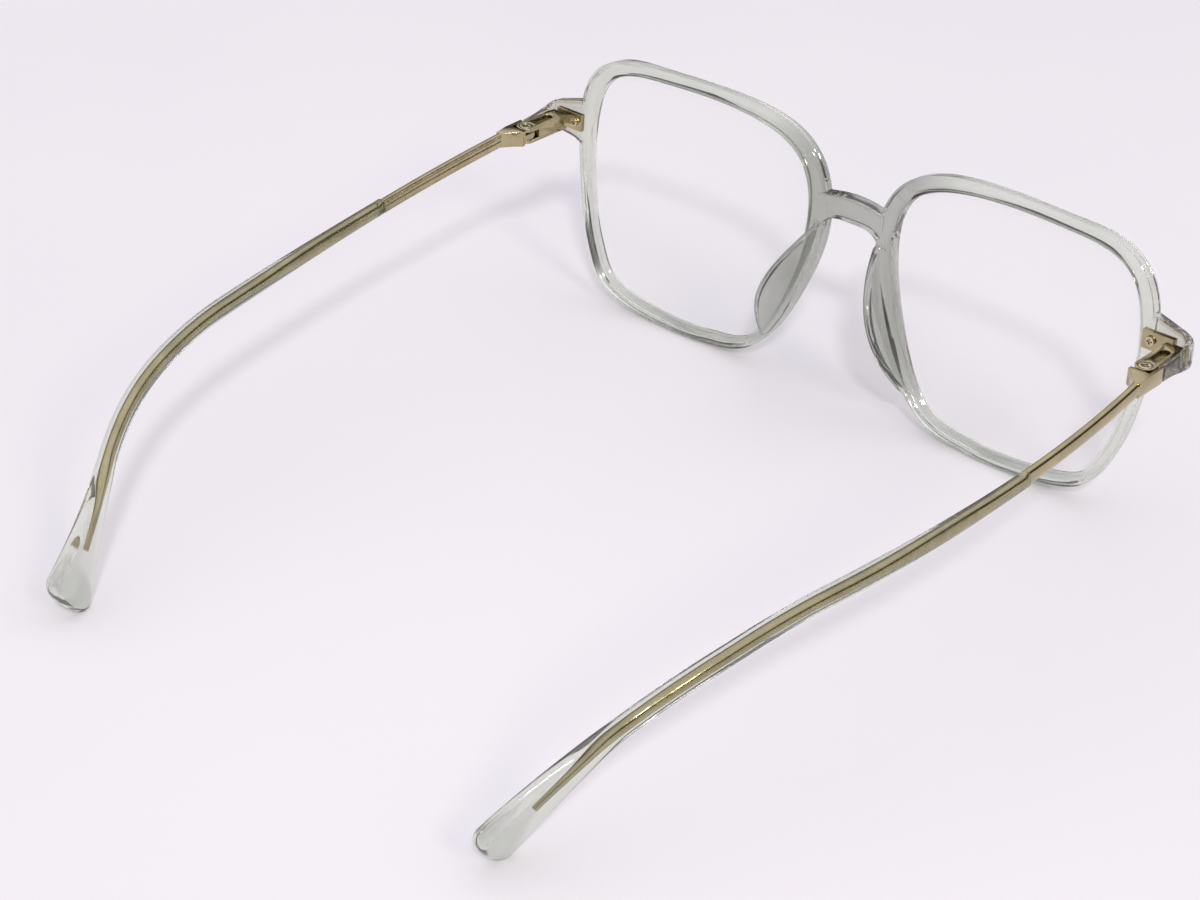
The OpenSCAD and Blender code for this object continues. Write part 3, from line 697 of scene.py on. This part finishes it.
# %% Bridge
BRIDGE_RISE, BRIDGE_H, TOP_DROP, LOW_DROP, FLARE = 14.4, 4.8, 1.2, 3.5, 0.5
BRIDGE_SUNK, BRIDGE_AHEAD = 1.6, 0.5
AT_NOSE = 5
NOSE_W = RIM_WIDTHS[AT_NOSE]
BRIDGE_SIDE = LENS_GAP / 2 + GROOVE_D - NOSE_W + BRIDGE_SUNK
BRIDGE_Y = at_ridge(AT_NOSE, (NOSE_W - GROOVE_D) / 2, 0, 0)[1] + BRIDGE_AHEAD
FORWARDS, UPWARDS = np.array([0, 1.0, 0]), np.array([0, 0, 1.0])


def bridge_stations(steps=60):
    made = []
    for k in range(steps + 1):
        x = BRIDGE_SIDE * (2 * k / steps - 1)
        a = abs(x) / BRIDGE_SIDE
        flare = FLARE * a ** 8
        top = LENS_Z + BRIDGE_RISE - TOP_DROP * a ** 2 + flare
        low = LENS_Z + BRIDGE_RISE - BRIDGE_H - LOW_DROP * a ** 4 - flare
        seat = np.array([x, BRIDGE_Y, (top + low) / 2])
        made.append((seat, UPWARDS, FORWARDS, top - low, RIM_D, 0, 0))
    return made


bridge_mesh = run_section("bridge", BRIDGE_SECTION, bridge_stations(), False, CLEAR)

# %% [markdown]
# Each lug leaves the upper outer corner of its rim and turns back to the hinge. It is given at a
# few posts, as in the CAD model, and a smooth curve runs between them. A post says how far it is
# out from the hinge and ahead of it, half its thickness, and how low and high it reaches.

# %% Lugs
WALL_R = (LUG_WALL - FIT) / 2
WALL_X = BLOCK_W / 2 + FIT + WALL_R
LUG_FRONT, ARM_END = HINGE_BACK - 2.9, 1.5
LUG_POSTS = [(-6, LUG_FRONT + 0.9, 1.3, -4.4, 5.6),
             (-3.6, LUG_FRONT + 0.8, 1.25, -3.2, 4.9),
             (-1.2, LUG_FRONT + 0.7, 1.2, -2.7, 4.2),
             (0.8, LUG_FRONT + 0.6, 1.15, -2.5, 3.6),
             (WALL_X - 0.4, LUG_FRONT + 0.1, 1.0, -2.3, 2.9),
             (WALL_X + 0.05, LUG_FRONT - 2, 0.5, -2.0, 2.2),
             (WALL_X, LUG_FRONT - 5, WALL_R + 0.05, -1.6, 1.7),
             (WALL_X, ARM_END + WALL_R, WALL_R, -1.5, 1.4)]


def through(rows, q):
    """A smooth row between those of an open list."""
    rows = [np.array(row, dtype=float) for row in (rows[0], *rows, rows[-1])]
    i = min(int(q), len(rows) - 4)
    return glide(*rows[i:i + 4], q - i)


def lug_stations(steps=100):
    posts = [through(LUG_POSTS, (len(LUG_POSTS) - 1) * k / steps) for k in range(steps + 1)]
    made = []
    for k, post in enumerate(posts):
        along = posts[min(k + 1, steps)][:2] - posts[max(k - 1, 0)][:2]
        along = along / np.linalg.norm(along)
        seat = HINGE + np.array([post[0], post[1], (post[3] + post[4]) / 2])
        outward = np.array([along[1], -along[0], 0])
        thick, tall = 2 * max(post[2], WALL_R), post[4] - post[3]
        made.append((seat, outward, UPWARDS, thick, tall, 0, 0))
    return made


lug_mesh = run_section("lug", LUG_SECTION, lug_stations(), False, CLEAR)
print("lug", len(lug_mesh.polygons), "faces")

# %% [markdown]
# Rims, pads, bridge and lugs are one moulding on the real object. Clear plastic shows every wall
# inside it, so the parts are joined by an exact union that leaves no inner walls, and the long
# sweeps of the rim stay as smooth as they were made. Only true creases are shaded as creases.

# %% The moulded front
FRONT_CREASE = 38


def moulded(name, body, others):
    """One closed mesh from a body and the meshes that are moulded on."""
    shell = new_object(name, body)
    tools = [new_object(name + "_tool_" + str(k), mesh) for k, mesh in enumerate(others)]
    for tool in tools:
        union = shell.modifiers.new("union", "BOOLEAN")
        union.operation, union.solver, union.object = "UNION", "EXACT", tool
    mesh = baked(shell)
    for thing in (shell, *tools):
        bpy.data.objects.remove(thing, do_unlink=True)
    return tidy_mesh(mesh)


for mesh in (rim_mesh, lug_mesh, bridge_mesh):
    tidy_mesh(mesh, DOUBLES)
rims = joined("rims", [moved(rim_mesh, TO_SIDE["front", side]) for side in ("right", "left")])
lugs = [moved(lug_mesh, TO_SIDE["front", side]) for side in ("right", "left")]
front_mesh = moulded("front", rims, [*lugs, moved(bridge_mesh, PLACE)])
make_piece("clear_front", front_mesh, "front", CLEAR, "clear_plastic", "front_frame",
           crease=FRONT_CREASE)

# %% [markdown]
# A lens is a thin domed disc with a V edge. Rings that shrink towards its middle keep the dome
# smooth, which flat facets would spoil.

# %% Lenses
def lens_mesh(name, around=12, rings=14):
    points, faces = [], []
    count = SPANS * around

    def add_ring(scale, out, y):
        for k in range(count):
            q = k / around
            p = (ridge(q) + ridge_out(q) * out) * scale
            points.append(on_dome(p[0], y, p[1], LENS_Z) * MM)

    lip, edge, mouth = -GROOVE_D - FIT, LENS_T / 2, GROOVE_W / 2 - FIT
    scales = [(k + 0.5) / rings for k in range(rings)] + [1.0]
    for scale in scales:
        add_ring(scale, lip, -edge)
    for out, y in ((lip, -mouth), (0, 0), (lip, mouth)):
        add_ring(1.0, out, y)
    for scale in reversed(scales):
        add_ring(scale, lip, edge)
    last_ring = len(points) - count
    for ring in range(0, last_ring, count):
        for k in range(count):
            after = (k + 1) % count
            faces.append((ring + k, ring + after, ring + count + after, ring + count + k))
    faces += [tuple(range(count)), tuple(range(last_ring, len(points)))]
    mesh = bpy.data.meshes.new(name)
    mesh.from_pydata([tuple(p) for p in points], [], faces)
    return tidy_mesh(mesh)


lens = lens_mesh("lens")
for side in ("left", "right"):
    make_piece("clear_lens_" + side, moved(lens, TO_SIDE["front", side]), "front",
               LENS, "lens", "lens_" + side)

# %% [markdown]
# The temple follows one line: straight from the hinge, a little inwards, then down and in behind
# the ear. Its headings, in degrees, are given at a few distances from the end of the hinge piece.

# %% The line of a temple
BEND, BEND_TURN, BEND_DIP = 83.0 - SEAM_L, 24.0, 39.0
TIP, MOUTH = TEMPLE_L - SEAM_L, SLEEVE_AT - SEAM_L
BEHIND = TIP - BEND
TURN_IN = ([0, BEND * 0.39, BEND * 0.96, BEND + BEHIND * 0.26, BEND + BEHIND * 0.615,
            BEND + BEHIND * 1.08],
           [-4.2, 1.8, 7.4, 11.4, BEND_TURN + 4, BEND_TURN - 4])
DIP = ([0, BEND, BEND + BEHIND * 0.34, BEND + BEHIND * 0.68, BEND + BEHIND * 1.08],
       [4.8, 0.8, 14.5, BEND_DIP - 2, BEND_DIP])
START = HINGE + np.array([1.9, -SEAM_L, -0.2])
STEP = 0.5


def directions(s, lower):
    """Along the temple, out of its side and up, at a distance and with the slopes lowered."""
    turn, dip = math.radians(np.interp(s, *TURN_IN)), math.radians(np.interp(s, *DIP) + lower)
    ahead = np.array([-math.sin(turn) * math.cos(dip), -math.cos(turn) * math.cos(dip),
                      -math.sin(dip)])
    out = np.array([math.cos(turn), -math.sin(turn), 0])
    return ahead, out, np.cross(out, ahead) * -1


def walk(lower):
    line = [START]
    for k in range(int(TIP / STEP)):
        line.append(line[-1] + STEP * directions((k + 0.5) * STEP, lower)[0])
    return np.array(line)

# %% [markdown]
# The sleeve starts flush with the bare bar, becomes a round tube, and behind the ear spreads into
# a flat paddle that leans outwards. The tip has to touch the table, so all slopes are lowered by
# the same small angle until it does, as in the CAD model.

# %% The size of the sleeve, and the slopes that bring it down to the table
LIP_H, LIP_T, SLEEVE_D = 3.0, 2.0, 3.1
PADDLE_H, PADDLE_T, PADDLE_L, PADDLE_LEAN, END_ROUND = 11.0, 2.8, 26.0, 18.0, 2.4
LEAN_FROM = MOUTH + (TIP - MOUTH) * 0.41
END_STEPS = 40


def end_share(s):
    """What the round end leaves of the sleeve's size."""
    return math.sqrt(max(0.02, 1 - share(s, TIP - END_ROUND, TIP) ** 2))


def sleeve_size(s):
    """The sleeve's thickness, height and lean."""
    slender = ease(share(s, BAR_L, MOUTH))
    tall, thick = LIP_H + (SLEEVE_D - LIP_H) * slender, LIP_T + (SLEEVE_D - LIP_T) * slender
    spread = share(s, TIP - PADDLE_L, TIP - END_ROUND)
    tall += (PADDLE_H - SLEEVE_D) * spread ** 1.2
    thick += (PADDLE_T - SLEEVE_D) * spread
    lean = math.radians(PADDLE_LEAN * share(s, LEAN_FROM, TIP))
    return thick * end_share(s) ** 0.5, tall * end_share(s) ** 0.7, lean


def leaned(out, up, lean):
    c, s = math.cos(lean), math.sin(lean)
    return out * c - up * s, out * s + up * c


lower = 0.0
for _ in range(5):
    line = walk(lower)
    lowest = math.inf
    for k in range(len(line) - END_STEPS, len(line)):
        tall, lean = sleeve_size(k * STEP)[1:]
        up = leaned(*directions(k * STEP, lower)[1:], lean)[1]
        lowest = min(lowest, line[k][2] - abs(up[2]) * tall / 2)
    lower += math.degrees(lowest / TIP)
print("slopes lowered by", round(lower, 3), "degrees")

# %% [markdown]
# The bar has a round outer side and a flat inner face with two fine lines pressed in it. In its
# middle stretch the strip between the lines sits PRESS_D higher, which widens the lower line. Past
# the bar the metal steps down to an oval core wire, which thins as it runs into the sleeve.

# %% The section of a bar, and stations along a temple
BAR_T, BAR_H, WIRE_H, WIRE_END, BAR_EDGE_R = 1.3, 2.8, 2.1, 1.15, 0.3
PRESS_LIP, PRESSED = 0.05, -1.0


def bar_rows():
    """The round side, an edge, down the flat face with its two lines, and the other edge."""
    turns = [math.radians(a) for a in range(-90, 91, 9)]
    rows = [(math.cos(a) / 2, 0, math.sin(a) / 2, 0, 0) for a in turns]
    rows += arc(-0.5, 0.5, BAR_EDGE_R, 90, 180)
    for inset, height, wing in ((0, -0.45, 0), (PRESS_LIP, -0.5, 0), (0, -0.56, PRESSED),
                                (0, -1.24, PRESSED), (PRESS_LIP, -1.3, 0), (0, -1.36, 0)):
        rows.append((-0.5, inset, 0.5, height, wing))
    return rows + arc(-0.5, -0.5, BAR_EDGE_R, 180, 270)


def temple_station(s, wide, tall, lean=0.0):
    k = min(int(round(s / STEP)), len(line) - 1)
    ahead, out, up = directions(s, lower)
    seat = line[k] + ahead * (s - k * STEP)
    out, up = leaned(out, up, lean)
    return seat, out, up, wide, tall, 0, 0


def places(start, end, step=0.25):
    """Distances from start on, a step apart, up to end."""
    return [start + k * step for k in range(int((end - start) / step) + 1)]


BAR_SECTION = section_outline("bar_section", bar_rows())
print("bar section has", len(bar_rows()), "points")

# %% [markdown]
# On the real thing bar and wire are one drawn piece. Here the end of the bar runs a little over
# the start of the wire, and both are kept in one mesh.

# %% Temple bars and core wires
PRESS_D, PRESS_FROM, PRESS_TO, PRESS_RAMP = 0.3, 2.0, BAR_L - 1.0, 0.6
THIN_FROM, THIN_TO = BAR_L + 14, MOUTH + 1.5


def bar_tall(s):
    return BAR_H + (WIRE_H - BAR_H) * ease(share(s, BAR_L - 0.3, BAR_L + 1.6))


def press_depth(s):
    fades_in = ease(share(s, PRESS_FROM, PRESS_FROM + PRESS_RAMP))
    fades_out = ease(share(s, PRESS_TO - PRESS_RAMP, PRESS_TO))
    return PRESS_D * min(fades_in, 1 - fades_out)


def wire_station(s):
    t = ease(share(s, THIN_FROM, THIN_TO))
    return temple_station(s, BAR_T + (WIRE_END - BAR_T) * t, WIRE_H + (WIRE_END - WIRE_H) * t)


bar_line = [(*temple_station(s, BAR_T, bar_tall(s))[:6], press_depth(s))
            for s in places(0, BAR_L + 1.75)]
wire_line = [wire_station(s) for s in places(BAR_L + 0.5, MOUTH + WIRE_IN)]
bar_mesh = run_section("bar", BAR_SECTION, bar_line, False, CHAMPAGNE)
wire_mesh = run_section("core_wire", OVAL_SECTION, wire_line, False, CHAMPAGNE)
bar_and_wire = joined("bar_and_wire", [tidy_mesh(m, DOUBLES) for m in (bar_mesh, wire_mesh)])
for side in ("left", "right"):
    make_piece("metal_temple_" + side, moved(bar_and_wire, TO_SIDE["temple", side]),
               "temple_" + side, CHAMPAGNE, "champagne_metal", "temple_bar_" + side)

# %% [markdown]
# The sleeve is a clear tube moulded round the wire. As plastic grips the wire with no air between
# them, the sleeve is drawn solid and the wire runs inside it, which is also what light meets in
# the real one. Then the outlines of the sections have done their work and are removed.

# %% Temple tips
ROUND_STEPS = 14
round_end = [TIP - END_ROUND + END_ROUND * math.sin(math.pi / 2 * k / ROUND_STEPS)
             for k in range(1, ROUND_STEPS + 1)]
sleeve_line = [temple_station(s, *sleeve_size(s))
               for s in places(BAR_L + 0.1, TIP - END_ROUND) + round_end]
sleeve_mesh = run_section("sleeve", OVAL_SECTION, sleeve_line, False, TIP_CLEAR)
tidy_mesh(sleeve_mesh, DOUBLES)
for side in ("left", "right"):
    make_piece("clear_tip_" + side, moved(sleeve_mesh, TO_SIDE["temple", side]),
               "temple_" + side, TIP_CLEAR, "tip_plastic", "temple_tip_" + side)

for outline in (RIM_SECTION, BRIDGE_SECTION, LUG_SECTION, OVAL_SECTION, BAR_SECTION):
    bpy.data.objects.remove(outline, do_unlink=True)

# %% [markdown]
# The hinge pieces are small cut metal blocks whose shape is already right in the CAD model. A
# bevel on every edge is all that they lack: light catches on it. Each is a merged copy of its
# CAD node with the bevel on it. The washers stay as they are and only take their finish.

# %% Hinge metal from the CAD nodes
SAME_POINT, SAME_FACE, SHARP_EDGE = 1e-6, math.radians(1), math.radians(35)
LEAF_BEVEL, JOINT_BEVEL, SCREW_BEVEL = 0.09, 0.12, 0.05


def bevelled_copy(name, node, body, finish, slot, width):
    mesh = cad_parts[node].data.copy()
    mesh.name = name
    work = bmesh.new()
    work.from_mesh(mesh)
    bmesh.ops.remove_doubles(work, verts=work.verts, dist=SAME_POINT)
    bmesh.ops.dissolve_limit(work, angle_limit=SAME_FACE, verts=work.verts, edges=work.edges)
    work.to_mesh(mesh)
    work.free()
    piece = make_piece(name, mesh, body, finish, slot, node)
    round_edges = piece.modifiers.new("round_edges", "BEVEL")
    round_edges.width, round_edges.segments = width * MM, 2
    round_edges.limit_method, round_edges.angle_limit = "ANGLE", SHARP_EDGE
    round_edges.harden_normals = True


for side in ("left", "right"):
    bevelled_copy("hinge_block_" + side, "hinge_leaf_" + side, "front",
                  CHAMPAGNE, "champagne_metal", LEAF_BEVEL)
    bevelled_copy("temple_joint_" + side, "temple_hinge_" + side, "temple_" + side,
                  CHAMPAGNE, "champagne_metal", JOINT_BEVEL)
    bevelled_copy("plate_screw_" + side, "leaf_screw_" + side, "front",
                  SCREW, "screw_metal", SCREW_BEVEL)
    bevelled_copy("pivot_screw_" + side, "hinge_screw_" + side, "front",
                  SCREW, "screw_metal", SCREW_BEVEL)

for node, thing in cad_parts.items():
    if node.startswith("hinge_washers"):
        thing.data.materials.clear()
        thing.data.materials.append(WASHER)

# %% [markdown]
# The table is plain and pale with a touch of lilac in it, as in the photograph. A window stands
# behind the camera, where the grey shadows of the photograph point, and a soft warm lamp farther
# to the right turns the shadows lilac. Places and sizes are in metres, powers in watts.

# %% Table and lights
TABLE_HALF = 3
PAPER_TONES = [(0.3, (0.80, 0.775, 0.82)), (0.7, (0.83, 0.805, 0.845))]


def table_paper(tree):
    return {"Base Color": ramp(tree, noise_on_object(tree, 6, 3), PAPER_TONES),
            "Roughness": 0.6, "Specular IOR Level": 0.25}


def table_top(name, half, finish):
    mesh = bpy.data.meshes.new(name)
    corners = [(-half, -half, 0), (half, -half, 0), (half, half, 0), (-half, half, 0)]
    mesh.from_pydata(corners, [], [(0, 1, 2, 3)])
    mesh.materials.append(finish)
    thing = new_object(name, mesh)


def panel(name, place, size, power, colour):
    """A round lamp that faces the middle of the table."""
    light = bpy.data.lights.new(name, "AREA")
    light.shape, light.size, light.energy, light.color = "DISK", size, power, colour
    thing = new_object(name, light)
    thing.location = place
    thing.rotation_mode = "QUATERNION"
    thing.rotation_quaternion = (-Vector(place)).to_track_quat("-Z", "Y")


table_top("table_top", TABLE_HALF, finish_of("table_paper", table_paper))
panel("window", (1.63, -1.81, 2.08), size=0.32, power=32.0, colour=(1.0, 0.98, 0.97))
panel("lamp", (2.46, -0.90, 1.84), size=0.7, power=17.0, colour=(1.0, 0.90, 0.72))

# %% [markdown]
# Above is a bright sky, dark near the horizon: that is what gives the clear plastic and the round
# bars their dark lines. Its tones run from the horizon up to the top.

# %% Sky
SKY_TONES = [(0.0, (0.02, 0.018, 0.014)), (0.34, (0.10, 0.095, 0.085)),
             (0.62, (0.85, 0.84, 0.88)), (1.0, (1.04, 1.03, 1.07))]
SKY_STRENGTH = 1.105

world = bpy.data.worlds.new("studio")
bpy.context.scene.world = world
world.use_nodes = True
sky = world.node_tree
ray = add_node(sky, "ShaderNodeTexCoord").outputs["Generated"]
height = add_node(sky, "ShaderNodeSeparateXYZ", {0: ray}).outputs["Z"]
sky.links.new(ramp(sky, height, SKY_TONES), sky.nodes["Background"].inputs["Color"])
sky.nodes["Background"].inputs["Strength"].default_value = SKY_STRENGTH

# %% [markdown]
# The camera stands where the photograph was taken from: behind the glasses, on the wearer's right
# and above, far enough for a gentle perspective. Its place, heading and lens were worked out from
# the outlines of the lenses, the hinges and the tips, in a frame that had the lens centre at
# SOLVED_LENS.

# %% Camera
CAMERA_MM, SOLVED_LENS = np.array([266.237, -390.572, 254.781]), np.array([0, 0.462, 24.63])
AZIMUTH, ELEVATION, ROLL = (math.radians(v) for v in (39.591, 29.8165, -2.398))
SENSOR_W, FOCAL = 36.0, 87.04
forward = np.array([-math.sin(AZIMUTH) * math.cos(ELEVATION),
                    math.cos(AZIMUTH) * math.cos(ELEVATION), -math.sin(ELEVATION)])
level_right = np.array([math.cos(AZIMUTH), math.sin(AZIMUTH), 0])
level_down = np.cross(forward, level_right)
right = math.cos(ROLL) * level_right + math.sin(ROLL) * level_down
down = -math.sin(ROLL) * level_right + math.cos(ROLL) * level_down
place = CAMERA_MM + FROM_DRAWING + (np.array([0, 0, LENS_Z]) - SOLVED_LENS)

camera = new_object("camera", bpy.data.cameras.new("camera"))
camera.data.sensor_width, camera.data.lens = SENSOR_W, FOCAL
camera.data.clip_start, camera.data.clip_end = 0.01, 20.0
rows = zip(right, -down, -forward, place * MM)
camera.matrix_world = Matrix((*rows, (0, 0, 0, 1)))
bpy.context.scene.camera = camera
bpy.context.scene.view_settings.view_transform = "Standard"
print("camera at", (place * MM).round(3))
